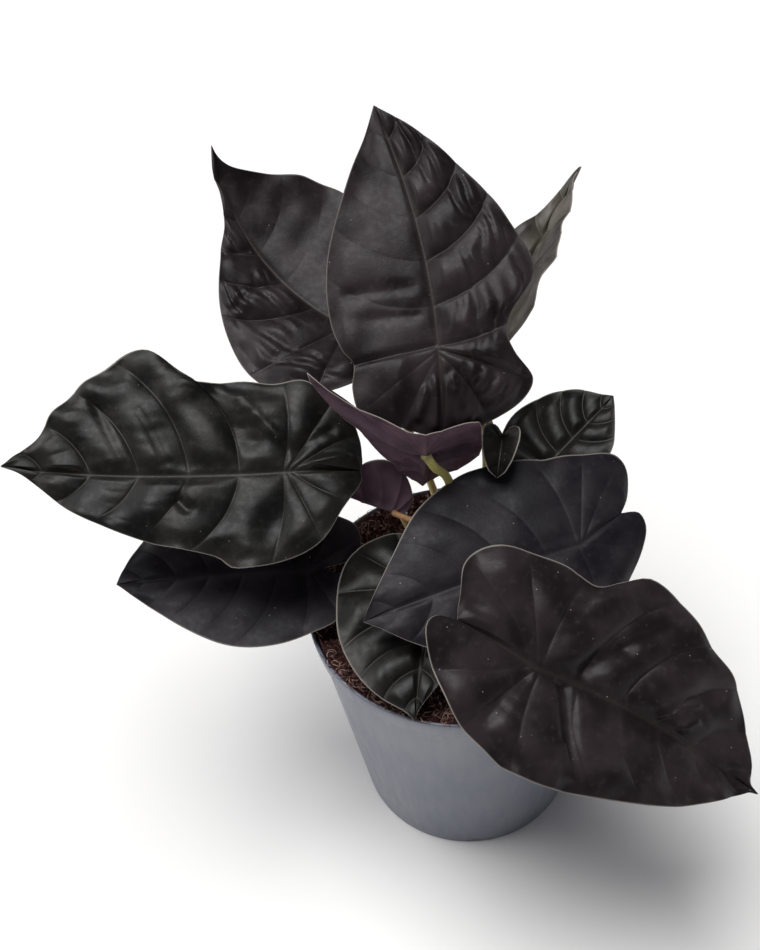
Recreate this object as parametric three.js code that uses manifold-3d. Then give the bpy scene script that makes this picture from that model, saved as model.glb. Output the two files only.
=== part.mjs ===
// A potted alocasia with near-black leaves: nursery pot, soil plug, short stem, leaf stalks and leaf blades.
// Millimetres, +Z up. The origin is the centre of the pot's foot, on the surface the pot stands on.
// The front of the plant looks along -Y.

import * as THREE from "three";
import { mergeVertices } from "three/addons/utils/BufferGeometryUtils.js";
import Module from "manifold-3d";

// Pot
const POT_HEIGHT = 107;
const RIM_RADIUS = 60;
const FOOT_RADIUS = 44;
const WALL = 1.5;
const COLLAR_HEIGHT = 9;
const COLLAR_STEP = 1.2;
const FLOOR = 2;
const POT_SIDES = 48;
const DRAIN_SLOTS = 4;
const SLOT_WIDTH = 9;
const SLOT_HEIGHT = 2.2;
const SLOT_DEPTH = 12;

// Gap between pieces that touch
const GAP = 0.3;

// Soil
const SOIL_EDGE = 102;
const SOIL_CROWN = 101;
const SOIL_FLAT_RADIUS = 27;
const SOIL_SIDES = 40;

// Stem base, a half-buried bulb
const STEM_CENTRE = [5, 12, 96];
const STEM_RADIUS = 12;
const STEM_SIDES = 20;
const STEM_ROWS = 12;

// Leaves
const BLADE_THICKNESS = 1;
const STALK_RADIUS = 1.8;
const THIN_STALK_RADIUS = 1.3;
const STALK_ARC_STEPS = 4;
const STALK_STEPS = 14;
const STALK_LEAD = 9;
const RINGS = 4;
const OUTLINE_STEPS = 16;

const COLORS = {
  pot: 0x696b76,
  soil: 0x3c241c,
  stem: 0x6b5a48,
  stalk: 0x8f8a58,
  paleStalk: 0xb08a70,
  darkLeaf: 0x242224,
  brownLeaf: 0x352d2b,
  blueLeaf: 0x26272d,
};

// Each leaf is laid out flat, with x along the midrib from the stalk's joint to the tip and y across it.
//   base, tip    where the stalk joins the blade, and the point of the blade
//   roll         degrees that the blade turns about the line from base to tip
//   arch         degrees that the midrib bends from base to tip, downwards at the tip if positive
//   sway         how far the midrib bows to the left at its middle
//   skew         degrees that the back lobes swing to the left
//   fold, curl   degrees that the [left, right] half rises at the midrib, and gains from there to its margin
//   drop         degrees that the [left, right] back lobe bends down
//   sinus        length of the blade that is whole behind the stalk's joint, up to the notch
//   left, right  margin of each half from the tip to the notch, both ends left out
//   leave        direction in which the stalk leaves the stem base: [azimuth, elevation] in degrees
//   via          point that the stalk passes
//   lean         degrees that the stalk's end leans towards the back lobes
const LEAVES = {
  top: {
    base: [-3, 38, 197], tip: [-18, 120, 250],
    roll: -4, arch: 8, sway: -4, skew: 0, fold: [0, 10], curl: [-10, -20], drop: [20, 25], sinus: 10,
    left: [[87, 8], [69, 21], [43, 35], [22, 38], [9, 35], [2, 31], [-7, 32], [-17, 29], [-23, 18],
      [-27, 8], [-26, 2]],
    right: [[86, 10], [65, 22], [46, 31], [34, 36], [20, 38], [8, 28], [0, 25], [-7, 27], [-18, 34],
      [-26, 26], [-31, 15], [-28, 6], [-26, 2]],
    leave: [80, 60], via: [16, 40, 155], lean: 10, radius: STALK_RADIUS,
    color: COLORS.brownLeaf, stalk: COLORS.paleStalk,
  },
  back_left: {
    base: [-35, 77, 182], tip: [-84, 142, 228],
    roll: -8, arch: -45, sway: 8, skew: 0, fold: [12, 10], curl: [-25, -10], drop: [10, 20], sinus: 9,
    left: [[88, 2], [78, 2], [66, 6], [57, 13], [39, 26], [20, 36], [4, 42], [-8, 42], [-20, 34],
      [-26, 18], [-22, 5]],
    right: [[85, 6], [76, 19], [66, 34], [52, 44], [32, 42], [12, 35], [-6, 27], [-17, 17], [-18, 5]],
    leave: [115, 45], via: [-16, 60, 145], lean: 0, radius: STALK_RADIUS,
    color: COLORS.brownLeaf, stalk: COLORS.stalk,
  },
  back_right: {
    base: [12, 60, 160], tip: [67, 143, 203],
    roll: 0, arch: -10, sway: 3, skew: 0, fold: [10, 50], curl: [0, 0], drop: [10, 10], sinus: 5,
    left: [[105, 2], [86, 6], [72, 12], [50, 24], [27, 30], [6, 28], [-7, 20], [-12, 10], [-11, 3]],
    right: [[101, 4], [84, 10], [65, 20], [50, 28], [36, 26], [24, 21], [8, 17], [-6, 14], [-12, 8],
      [-11, 3]],
    leave: [70, 38], via: [15, 48, 135], lean: 0, radius: STALK_RADIUS,
    color: COLORS.darkLeaf, stalk: COLORS.stalk,
  },
  left: {
    base: [-61, 18, 163], tip: [-166, 30, 166],
    roll: -22, arch: 6, sway: 3, skew: 0, fold: [0, 9], curl: [-15, -5], drop: [15, 10], sinus: 27,
    left: [[96, 3], [75, 16], [48, 25], [25, 30], [16, 35], [-2, 33], [-14, 27], [-21, 15], [-27, 5]],
    right: [[96, 10], [83, 30], [66, 45], [56, 49], [43, 42], [35, 36], [22, 37], [8, 35], [-4, 35],
      [-14, 27], [-25, 17], [-27, 5]],
    leave: [158, 34], via: [-30, 36, 138], lean: 0, radius: STALK_RADIUS,
    color: COLORS.darkLeaf, stalk: COLORS.paleStalk,
  },
  low_left: {
    base: [-58, 8, 121], tip: [-131, 8, 121],
    roll: -14, arch: 14, sway: 0, skew: 0, fold: [4, 4], curl: [-10, -20], drop: [0, 0], sinus: 6,
    left: [[65, 7], [49, 20], [33, 29], [16, 31], [0, 27], [-10, 22], [-14, 13], [-13, 4]],
    right: [[67, 13], [60, 22], [45, 31], [25, 35], [5, 32], [-10, 26], [-20, 17], [-19, 5]],
    leave: [186, 37], via: [-34, 9, 112], lean: 0, radius: THIN_STALK_RADIUS,
    color: COLORS.blueLeaf, stalk: COLORS.stalk,
  },
  right: {
    base: [42, -10, 141], tip: [-38, -31, 134],
    roll: -22, arch: 14, sway: 0, skew: -20, fold: [0, 6], curl: [-20, -10], drop: [20, 20], sinus: 21,
    left: [[71, 12], [60, 20], [42, 27], [22, 28], [2, 27], [-12, 24], [-22, 18], [-28, 11], [-28, 4]],
    right: [[67, 17], [50, 32], [33, 39], [16, 39], [0, 35], [-17, 27], [-28, 20], [-31, 12], [-27, 4]],
    leave: [-30, 40], via: [34, 3, 119], lean: 0, radius: STALK_RADIUS,
    color: COLORS.blueLeaf, stalk: COLORS.stalk,
  },
  front_right: {
    base: [19, -58, 135], tip: [93, -81, 82],
    roll: 14, arch: 12, sway: 3, skew: 13, fold: [20, 4], curl: [-15, -15], drop: [10, 10], sinus: 31,
    left: [[83, 5], [71, 24], [53, 35], [40, 43], [26, 45], [16, 39], [8, 34], [-5, 36], [-21, 32],
      [-32, 26], [-36, 17], [-33, 7]],
    right: [[84, 6], [64, 21], [39, 32], [15, 37], [-6, 35], [-21, 30], [-32, 20], [-40, 10], [-38, 3]],
    leave: [-75, 40], via: [8, -38, 113], lean: 0, radius: STALK_RADIUS,
    color: COLORS.brownLeaf, stalk: COLORS.stalk,
  },
  small_right: {
    base: [36, 33, 139], tip: [66, 55, 153],
    roll: 8, arch: 8, sway: 0, skew: 0, fold: [5, 5], curl: [-10, -10], drop: [0, 0], sinus: 4,
    left: [[37, 5], [33, 13], [24, 21], [12, 25], [3, 24], [-3, 20], [-8, 12], [-8, 3]],
    right: [[36, 4], [28, 11], [22, 15], [13, 17], [4, 18], [-4, 15], [-9, 9], [-8, 3]],
    leave: [25, 38], via: [31, 30, 122], lean: 0, radius: THIN_STALK_RADIUS,
    color: COLORS.darkLeaf, stalk: COLORS.stalk,
  },
  front: {
    base: [-14, -12, 125], tip: [-23, -60, 113],
    roll: 0, arch: 14, sway: 0, skew: 0, fold: [5, 5], curl: [-10, -10], drop: [-10, -10], sinus: 6,
    left: [[46, 1], [37, 7], [26, 16], [12, 22], [-2, 22], [-14, 16], [-16, 6]],
    right: [[47, 4], [40, 17], [28, 27], [14, 32], [-4, 33], [-14, 30], [-21, 21], [-24, 12], [-18, 3]],
    leave: [232, 38], via: [-9, -4, 112], lean: 0, radius: THIN_STALK_RADIUS,
    color: COLORS.darkLeaf, stalk: COLORS.stalk,
  },
  small_left: {
    base: [-23, 19, 136], tip: [-46, 26, 143],
    roll: 128, arch: 8, sway: 0, skew: 0, fold: [0, 95], curl: [20, 0], drop: [0, 0], sinus: 3,
    left: [[22, 7], [16, 15], [8, 18], [0, 14], [-5, 6]],
    right: [[20, 6], [12, 12], [4, 12], [-4, 6]],
    leave: [165, 62], via: [-12, 16, 127], lean: 70, radius: THIN_STALK_RADIUS,
    color: COLORS.brownLeaf, stalk: COLORS.paleStalk,
  },
  hanging: {
    base: [-11, 11, 173], tip: [-12, 24, 145],
    roll: 0, arch: -20, sway: 0, skew: 0, fold: [28, 14], curl: [14, 0], drop: [5, 5], sinus: 12,
    left: [[26, 14], [20, 19], [8, 26], [-8, 35], [-20, 41], [-29, 42], [-24, 35], [-17, 25], [-13, 12]],
    right: [[27, 12], [18, 18], [5, 20], [-8, 19], [-14, 16], [-13, 8]],
    leave: [200, 82], via: [-4, 16, 154], lean: -65, radius: THIN_STALK_RADIUS,
    color: COLORS.brownLeaf, stalk: COLORS.stalk,
  },
  cupped: {
    base: [18, 24, 163], tip: [14.5, 11.5, 157],
    roll: 0, arch: 12, sway: 0, skew: 0, fold: [45, 45], curl: [0, 0], drop: [10, 10], sinus: 3,
    left: [[12, 5], [5, 9], [-2, 9], [-5, 4]],
    right: [[12, 5], [5, 9], [-2, 9], [-5, 4]],
    leave: [35, 66], via: [22, 27, 138], lean: 0, radius: THIN_STALK_RADIUS,
    color: COLORS.darkLeaf, stalk: COLORS.stalk,
  },
};

const ROUGHNESS = { pot: 0.55, soil: 0.95, stem: 0.7, stalk: 0.5, leaf: 0.4 };

const UP = new THREE.Vector3(0, 0, 1);
const SMALLEST_TURN = 1e-6;
const radians = THREE.MathUtils.degToRad;

const wasm = await Module();
wasm.setup();

function material(color, roughness) {
  return new THREE.MeshStandardMaterial({ color, roughness, metalness: 0 });
}

function piece(name, geometry, color, roughness) {
  const mesh = new THREE.Mesh(geometry, material(color, roughness));
  mesh.name = name;
  return mesh;
}

function toSolid(geometry) {
  const bare = geometry.clone().deleteAttribute("normal").deleteAttribute("uv");
  const merged = mergeVertices(bare, 1e-4);
  const vertProperties = merged.attributes.position.array;
  const triVerts = new Uint32Array(merged.index.array);
  return new wasm.Manifold(new wasm.Mesh({ numProp: 3, vertProperties, triVerts }));
}

function toGeometry(solid) {
  const mesh = solid.getMesh();
  const geometry = new THREE.BufferGeometry();
  geometry.setAttribute("position", new THREE.BufferAttribute(mesh.vertProperties, 3));
  geometry.setIndex(new THREE.BufferAttribute(mesh.triVerts, 1));
  return geometry;
}

// A turned body about the Z axis, from a profile of [radius, height] that runs upwards on the outside.
function turned(profile, sides) {
  const points = profile.map(([radius, height]) => new THREE.Vector2(radius, height));
  return new THREE.LatheGeometry(points, sides).rotateX(Math.PI / 2);
}

// Radius of the pot's outer wall, collar left out.
function wallRadius(height) {
  const top = RIM_RADIUS - COLLAR_STEP;
  return FOOT_RADIUS + ((top - FOOT_RADIUS) * height) / POT_HEIGHT;
}

// A moulded tub with a flat floor. The drain slots cut through the corner of the floor and the wall.
function makePot() {
  const collar = POT_HEIGHT - COLLAR_HEIGHT;
  const profile = [
    [0, 0],
    [FOOT_RADIUS, 0],
    [wallRadius(collar), collar],
    [wallRadius(collar) + COLLAR_STEP, collar],
    [RIM_RADIUS, POT_HEIGHT],
    [RIM_RADIUS - COLLAR_STEP - WALL, POT_HEIGHT],
    [wallRadius(FLOOR) - WALL, FLOOR],
    [0, FLOOR],
  ];
  let solid = toSolid(turned(profile, POT_SIDES));
  for (let i = 0; i < DRAIN_SLOTS; i += 1) {
    const slot = new THREE.BoxGeometry(SLOT_DEPTH, SLOT_WIDTH, 2 * SLOT_HEIGHT);
    slot.translate(FOOT_RADIUS, 0, 0).rotateZ((i * 2 * Math.PI) / DRAIN_SLOTS);
    solid = solid.subtract(toSolid(slot));
  }
  return piece("pot", toGeometry(solid), COLORS.pot, ROUGHNESS.pot);
}

function bulb(radius) {
  return toSolid(new THREE.SphereGeometry(radius, STEM_SIDES, STEM_ROWS).translate(...STEM_CENTRE));
}

// The plug of fibre that fills the pot, a little lower in the middle, with a pit for the stem base.
function makeSoil() {
  const inside = (height) => wallRadius(height) - WALL - 2 * GAP;
  const bottom = FLOOR + GAP;
  const profile = [
    [0, bottom],
    [inside(bottom), bottom],
    [inside(SOIL_EDGE), SOIL_EDGE],
    [SOIL_FLAT_RADIUS, SOIL_CROWN],
    [0, SOIL_CROWN],
  ];
  const solid = toSolid(turned(profile, SOIL_SIDES)).subtract(bulb(STEM_RADIUS + 2 * GAP));
  return piece("soil", toGeometry(solid), COLORS.soil, ROUGHNESS.soil);
}

function makeStemBase() {
  return piece("stem_base", toGeometry(bulb(STEM_RADIUS)), COLORS.stem, ROUGHNESS.stem);
}

// A run along an arc that starts at an angle and turns at a rate: how far it goes ahead and up, and its
// last angle.
function arc(start, rate, distance) {
  const turn = Math.abs(rate) < SMALLEST_TURN ? SMALLEST_TURN : rate;
  const angle = start + turn * distance;
  const ahead = (Math.sin(angle) - Math.sin(start)) / turn;
  const rise = (Math.cos(start) - Math.cos(angle)) / turn;
  return { ahead, rise, angle };
}

// The shape of a leaf: place(x, y, half) takes a flat point to the plant, with half 0 left of the midrib
// and half 1 right of it.
function leafShape(leaf) {
  const base = new THREE.Vector3(...leaf.base);
  const chord = new THREE.Vector3(...leaf.tip).sub(base);
  const along = chord.clone().normalize();
  const level = UP.clone().cross(along).normalize();
  const raised = along.clone().cross(level);
  const roll = radians(leaf.roll);
  const across = level.multiplyScalar(Math.cos(roll)).addScaledVector(raised, Math.sin(roll));
  const up = along.clone().cross(across);

  const margins = [leaf.left, leaf.right];
  const lobe = margins.map((margin) => -Math.min(...margin.map(([x]) => x)));
  const width = margins.map((margin) => Math.max(...margin.map(([, y]) => y)));
  const arch = radians(leaf.arch);
  const length = (chord.length() * arch) / (2 * Math.sin(arch / 2));

  function onMidrib(x, half) {
    const ahead = x > 0;
    const way = ahead ? 1 : -1;
    const rate = ahead ? -arch / length : radians(leaf.drop[half]) / lobe[half];
    const bend = arc(arch / 2, rate, Math.abs(x));
    const part = x / length;
    const bow = 4 * leaf.sway * part * (ahead ? 1 - part : 1);
    const swing = ahead ? 0 : -x * Math.tan(radians(leaf.skew));
    const point = base.clone().addScaledVector(along, way * bend.ahead).addScaledVector(up, way * bend.rise);
    point.addScaledVector(across, bow + swing);
    const normal = up.clone().multiplyScalar(Math.cos(bend.angle));
    normal.addScaledVector(along, -Math.sin(bend.angle));
    return { point, normal };
  }

  function place(x, y, half) {
    const side = half === 0 ? 1 : -1;
    const { point, normal } = onMidrib(x, half);
    const bend = arc(radians(leaf.fold[half]), radians(leaf.curl[half]) / width[half], y);
    point.addScaledVector(across, side * bend.ahead).addScaledVector(normal, bend.rise);
    if (y > 0) {
      normal.multiplyScalar(Math.cos(bend.angle)).addScaledVector(across, -side * Math.sin(bend.angle));
    }
    return { point, normal };
  }

  return { place, length };
}

// Flat margin of a leaf from the tip round the left half to the notch, and back to the tip on the right half.
function margin(leaf, length) {
  const loop = [];
  [leaf.left, leaf.right].forEach((points, half) => {
    const ends = [[length, 0], ...points, [-leaf.sinus, 0]];
    const curve = new THREE.SplineCurve(ends.map(([x, y]) => new THREE.Vector2(x, y)));
    const side = curve.getPoints(OUTLINE_STEPS).map(({ x, y }) => ({ x, y: Math.max(y, 0), half }));
    loop.push(...(half === 0 ? side.slice(0, -1) : side.slice(1).reverse()));
  });
  return loop;
}

// A blade is a sheet between two faces, each a web of rings round the point where the stalk joins it.
function makeBlade(name, leaf) {
  const { place, length } = leafShape(leaf);
  const loop = margin(leaf, length);
  const count = loop.length;
  const positions = [];
  const triangles = [];
  for (const depth of [0, BLADE_THICKNESS]) {
    const add = ({ point, normal }) => positions.push(...point.addScaledVector(normal, -depth).toArray());
    add(place(0, 0, 0));
    for (let ring = 1; ring <= RINGS; ring += 1) {
      const reach = ring / RINGS;
      loop.forEach(({ x, y, half }) => add(place(x * reach, y * reach, half)));
    }
  }
  const faceSize = 1 + RINGS * count;
  const at = (face, ring, step) => face * faceSize + 1 + (ring - 1) * count + (step % count);
  for (let step = 0; step < count; step += 1) {
    for (const face of [0, 1]) {
      const turn = ([a, b, c]) => triangles.push(...(face === 0 ? [a, b, c] : [c, b, a]));
      turn([face * faceSize, at(face, 1, step), at(face, 1, step + 1)]);
      for (let ring = 1; ring < RINGS; ring += 1) {
        turn([at(face, ring, step), at(face, ring + 1, step), at(face, ring + 1, step + 1)]);
        turn([at(face, ring, step), at(face, ring + 1, step + 1), at(face, ring, step + 1)]);
      }
    }
    triangles.push(at(0, RINGS, step), at(1, RINGS, step), at(1, RINGS, step + 1));
    triangles.push(at(0, RINGS, step), at(1, RINGS, step + 1), at(0, RINGS, step + 1));
  }
  const geometry = new THREE.BufferGeometry();
  geometry.setAttribute("position", new THREE.Float32BufferAttribute(positions, 3));
  geometry.setIndex(triangles);
  return piece(`blade_${name}`, geometry, leaf.color, ROUGHNESS.leaf);
}

// A stalk leaves the stem base square to its skin, passes one point and meets the blade's underside square.
function makeStalk(name, leaf) {
  const { point, normal } = leafShape(leaf).place(0, 0, 0);
  const [azimuth, elevation] = leaf.leave.map(radians);
  const outward = new THREE.Vector3(Math.cos(elevation), 0, 0).applyAxisAngle(UP, azimuth);
  outward.z = Math.sin(elevation);
  const centre = new THREE.Vector3(...STEM_CENTRE);
  const lean = radians(leaf.lean);
  const forward = new THREE.Vector3(...leaf.tip).sub(point).projectOnPlane(normal).normalize();
  const arrival = normal.clone().multiplyScalar(Math.cos(lean)).addScaledVector(forward, Math.sin(lean));
  const clearance = BLADE_THICKNESS + 2 * GAP + leaf.radius * Math.abs(Math.sin(lean));
  const end = point.clone().addScaledVector(normal, -clearance);
  const route = [
    centre.clone().addScaledVector(outward, STEM_RADIUS + GAP),
    centre.clone().addScaledVector(outward, STEM_RADIUS + STALK_LEAD),
    new THREE.Vector3(...leaf.via),
    end.clone().addScaledVector(arrival, -STALK_LEAD),
    end,
  ];
  const path = new THREE.CatmullRomCurve3(route, false, "centripetal");
  const section = new THREE.Shape();
  section.absarc(0, 0, leaf.radius, 0, 2 * Math.PI);
  const geometry = new THREE.ExtrudeGeometry(section, {
    steps: STALK_STEPS,
    curveSegments: STALK_ARC_STEPS,
    extrudePath: path,
  });
  return piece(`stalk_${name}`, geometry, leaf.stalk, ROUGHNESS.stalk);
}

const plant = new THREE.Group();
plant.add(makePot(), makeSoil(), makeStemBase());
for (const [name, leaf] of Object.entries(LEAVES)) {
  plant.add(makeStalk(name, leaf), makeBlade(name, leaf));
}

export default plant;
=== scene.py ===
import math

import bpy
import numpy as np
from mathutils import Matrix, Vector


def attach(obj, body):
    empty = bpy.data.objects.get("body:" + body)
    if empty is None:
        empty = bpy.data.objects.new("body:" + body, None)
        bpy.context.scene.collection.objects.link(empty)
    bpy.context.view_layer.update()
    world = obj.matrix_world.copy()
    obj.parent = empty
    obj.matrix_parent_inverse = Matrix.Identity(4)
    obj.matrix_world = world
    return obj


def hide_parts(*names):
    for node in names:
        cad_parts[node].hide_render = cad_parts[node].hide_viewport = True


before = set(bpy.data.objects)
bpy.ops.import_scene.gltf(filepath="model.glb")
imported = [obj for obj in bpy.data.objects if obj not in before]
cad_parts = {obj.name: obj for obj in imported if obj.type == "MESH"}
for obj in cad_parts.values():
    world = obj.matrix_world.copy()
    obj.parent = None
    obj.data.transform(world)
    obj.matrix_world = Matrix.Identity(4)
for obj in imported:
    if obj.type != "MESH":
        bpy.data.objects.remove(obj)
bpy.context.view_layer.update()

# Camera
# It looks down on the plant from the front, half a metre away, turned five degrees about its own axis.
# Place and lens follow from the pot, whose rim and foot are 120 and 88 mm across and 107 mm apart.
MM = 0.001
FRAME_HEIGHT_PIXELS = 950
FOCAL_LENGTH_PIXELS = 1200
SENSOR_MM = 36
CAMERA_MM = (-27.6, -300.0, 460.4)
LOOKS_DOWN = math.radians(43.63)
ROLLED = math.radians(-5.01)

ahead = np.array([0, math.cos(LOOKS_DOWN), -math.sin(LOOKS_DOWN)])
level_right = np.array([1.0, 0, 0])
level_up = np.cross(level_right, ahead)
camera_right = math.cos(ROLLED) * level_right + math.sin(ROLLED) * level_up
camera_up = np.cross(camera_right, ahead)
camera = bpy.data.objects.new("camera", bpy.data.cameras.new("camera"))
bpy.context.collection.objects.link(camera)
camera_turn = Matrix(np.column_stack([camera_right, camera_up, -ahead]).tolist()).to_4x4()
camera.matrix_world = Matrix.Translation([MM * value for value in CAMERA_MM]) @ camera_turn
camera.data.sensor_width = SENSOR_MM
camera.data.lens = SENSOR_MM * FOCAL_LENGTH_PIXELS / FRAME_HEIGHT_PIXELS
bpy.context.scene.camera = camera
bpy.context.scene.view_settings.view_transform = "Standard"

# Floor and light
# White paper under one large soft light straight above, which gives the leaves their broad sheen, with a
# weak one low at the left, for the pot's lit side, and little light from anywhere else.
FLOOR_COLOR = "#f6f5f3"
FLOOR_SIZE_MM = 6000
SKY_COLOR = "#f4f7ff"
SKY_STRENGTH = 0.16


def linear(color, alpha=1.0):
    """An sRGB hex colour as linear RGBA."""
    parts = [int(color[i:i + 2], 16) / 255 for i in (1, 3, 5)]
    return (*[c / 12.92 if c <= 0.04045 else ((c + 0.055) / 1.055) ** 2.4 for c in parts], alpha)


def add_node(tree, kind, settings=None, inputs=None):
    """A shader node with its settings; each input is a value or another node's output, which is linked."""
    node = tree.nodes.new("ShaderNode" + kind)
    for name, value in (settings or {}).items():
        setattr(node, name, value)
    for name, value in (inputs or {}).items():
        if isinstance(value, bpy.types.NodeSocket):
            tree.links.new(value, node.inputs[name])
        else:
            node.inputs[name].default_value = value
    return node


def start_material(name):
    """An empty material, its node tree and its principled shader."""
    material = bpy.data.materials.new(name)
    material.use_nodes = True
    tree = material.node_tree
    return material, tree, tree.nodes["Principled BSDF"]


def make_piece(name, points, faces, material, facts=None):
    """A smooth mesh from points in mm, with a number for each point under each name in facts."""
    mesh = bpy.data.meshes.new(name)
    mesh.from_pydata((np.asarray(points) * MM).tolist(), [], faces)
    mesh.materials.append(material)
    mesh.shade_smooth()
    for fact, values in (facts or {}).items():
        held = mesh.attributes.new(fact, "FLOAT", "POINT")
        held.data.foreach_set("value", np.asarray(values, dtype=np.float32))
    mesh.validate()
    piece = bpy.data.objects.new(name, mesh)
    bpy.context.collection.objects.link(piece)
    return piece


paper, tree, shader = start_material("white_paper")
shader.inputs["Base Color"].default_value = linear(FLOOR_COLOR)
shader.inputs["Roughness"].default_value = 0.9
shader.inputs["Specular IOR Level"].default_value = 0.1
edge = FLOOR_SIZE_MM / 2
floor_corners = [(-edge, -edge, 0), (edge, -edge, 0), (edge, edge, 0), (-edge, edge, 0)]
floor = make_piece("floor", floor_corners, [(0, 1, 2, 3)], paper)

sky = bpy.data.worlds.new("sky")
bpy.context.scene.world = sky
sky.use_nodes = True
sky.node_tree.nodes["Background"].inputs["Color"].default_value = linear(SKY_COLOR)
sky.node_tree.nodes["Background"].inputs["Strength"].default_value = SKY_STRENGTH


def add_soft_light(name, direction, strength, width):
    """Soft light from a direction, with the light it brings in W/m2 and its apparent width in degrees."""
    light = bpy.data.objects.new(name, bpy.data.lights.new(name, "SUN"))
    bpy.context.collection.objects.link(light)
    light.data.energy = strength
    light.data.angle = math.radians(width)
    light.rotation_euler = Vector(direction).to_track_quat("Z", "Y").to_euler()


add_soft_light("overhead_light", direction=(-0.2, 0.1, 1.0), strength=2.8, width=42)
add_soft_light("left_light", direction=(-0.85, 0.4, 0.3), strength=1.4, width=60)

# Pot
# A thin-wall nursery pot of grey-blue polypropylene, injection moulded: a slow satin sheen, faint dust,
# a collar under the rolled rim, a foot ring, and drain slots through the corner of floor and wall.
POT_HEIGHT = 107
RIM_RADIUS = 60
FOOT_RADIUS = 44
POT_WALL = 1.3
COLLAR_HEIGHT = 9
COLLAR_STEP = 1.2
LIP_RADIUS = 0.7
FLOOR_THICKNESS = 2
FLOOR_LIFT = 0.7
GATE_RADIUS = 12
GATE_DEPTH = 0.35
DRAIN_SLOTS = 4
SLOT_WIDTH = 9
SLOT_HEIGHT = 2.2
SLOT_SQUARENESS = 0.6
SLOT_CUT_RADII = (38, 52)
POT_STEPS = 256
POT_COLOR = "#5d6272"
POT_DUST_COLOR = "#9b9894"
DUST_FILM_MM = 45
DUST_SPECK_SPACING_MM = 7
FLOW_STREAK_MM = 3
POT_GRAIN_MM = 0.5


def wall_radius(height):
    """Radius of the outer wall, collar left out."""
    return FOOT_RADIUS + (RIM_RADIUS - COLLAR_STEP - FOOT_RADIUS) * height / POT_HEIGHT


def turned(profile, steps):
    """Points and faces of a closed body turned about Z, from (radius, height) points axis to axis."""
    angles = np.arange(steps) * 2 * math.pi / steps
    circle = np.column_stack([np.cos(angles), np.sin(angles), np.zeros(steps)])
    rings = [r * circle + (0, 0, h) for r, h in profile[1:-1]]
    points = np.vstack([[(0, 0, profile[0][1])], *rings, [(0, 0, profile[-1][1])]])
    last = len(points) - 1
    faces = []
    for i in range(steps):
        j = (i + 1) % steps
        faces.append((0, 1 + j, 1 + i))
        for ring in range(len(rings) - 1):
            low = 1 + ring * steps
            faces.append((low + i, low + j, low + steps + j, low + steps + i))
        top = 1 + (len(rings) - 1) * steps
        faces.append((top + i, top + j, last))
    return points, faces


def fillet(centre, radius, first, final, steps=5):
    """Points of an arc in the turned profile, from one angle in degrees to another."""
    angles = np.radians(np.linspace(first, final, steps))
    return [(centre[0] + radius * math.cos(a), centre[1] + radius * math.sin(a)) for a in angles]


collar_foot = POT_HEIGHT - COLLAR_HEIGHT
collar_radius = wall_radius(collar_foot) + COLLAR_STEP
pot_profile = [
    # underside of the floor, with the ring of the moulding gate
    (0, FLOOR_LIFT), (GATE_RADIUS, FLOOR_LIFT), (GATE_RADIUS + 0.5, FLOOR_LIFT - GATE_DEPTH),
    (GATE_RADIUS + 2, FLOOR_LIFT - GATE_DEPTH), (GATE_RADIUS + 2.5, FLOOR_LIFT),
    # foot ring and wall
    (FOOT_RADIUS - 5.5, FLOOR_LIFT), (FOOT_RADIUS - 5, 0.3), (FOOT_RADIUS - 4.6, 0),
    *fillet((FOOT_RADIUS - 0.9, 1), 1, -90, -8),
    *[(wall_radius(h), h) for h in np.linspace(4, collar_foot - 1.6, 30)],
    # collar and rolled rim
    *fillet((collar_radius, collar_foot - 1.1), 1.1, 180, 110, 4),
    (collar_radius - 0.1, collar_foot + 0.2), (collar_radius + 0.05, collar_foot + 0.7),
    (RIM_RADIUS - 0.25, POT_HEIGHT - 3),
    *fillet((RIM_RADIUS - LIP_RADIUS, POT_HEIGHT - LIP_RADIUS), LIP_RADIUS, 0, 180, 9),
    # inside, down to the floor
    (RIM_RADIUS - 2 * LIP_RADIUS - 0.2, POT_HEIGHT - 3),
    (wall_radius(collar_foot) - POT_WALL, collar_foot - 2),
    *[(wall_radius(h) - POT_WALL, h) for h in np.linspace(collar_foot - 12, FLOOR_THICKNESS + 1.5, 12)],
    (wall_radius(FLOOR_THICKNESS) - POT_WALL - 1.2, FLOOR_THICKNESS), (0, FLOOR_THICKNESS),
]

# Moulded plastic is even in colour, so a thin film of dust, faint flow streaks in its sheen and a fine
# grain are all that tell it from paint.
color_mix = {"data_type": "RGBA"}
polypropylene, tree, shader = start_material("moulded_polypropylene")
spot = add_node(tree, "TexCoord").outputs["Object"]
cloud = add_node(tree, "TexNoise", None, {"Vector": spot, "Scale": 1 / (DUST_FILM_MM * MM), "Detail": 4})
upright = add_node(tree, "Mapping", None, {"Vector": spot, "Scale": (1, 1, 0.12)}).outputs["Vector"]
streak = add_node(tree, "TexNoise", None, {
    "Vector": upright, "Scale": 1 / (FLOW_STREAK_MM * MM), "Detail": 3})
grain = add_node(tree, "TexNoise", None, {"Vector": spot, "Scale": 1 / (POT_GRAIN_MM * MM), "Detail": 2})
speck = add_node(tree, "TexVoronoi", None, {"Vector": spot, "Scale": 1 / (DUST_SPECK_SPACING_MM * MM)})
speck_size = add_node(tree, "MapRange", None, {
    "Value": speck.outputs["Distance"], "From Min": 0.025, "From Max": 0.05, "To Min": 0.5, "To Max": 0})
film = add_node(tree, "MapRange", None, {
    "Value": cloud.outputs["Fac"], "From Min": 0.42, "From Max": 0.75, "To Min": 0, "To Max": 0.28})
dust = add_node(tree, "Math", {"operation": "MAXIMUM"}, {0: speck_size.outputs[0], 1: film.outputs[0]})
shade = add_node(tree, "Mix", color_mix, {
    0: dust.outputs[0], 6: linear(POT_COLOR), 7: linear(POT_DUST_COLOR)})
tree.links.new(shade.outputs[2], shader.inputs["Base Color"])
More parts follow.
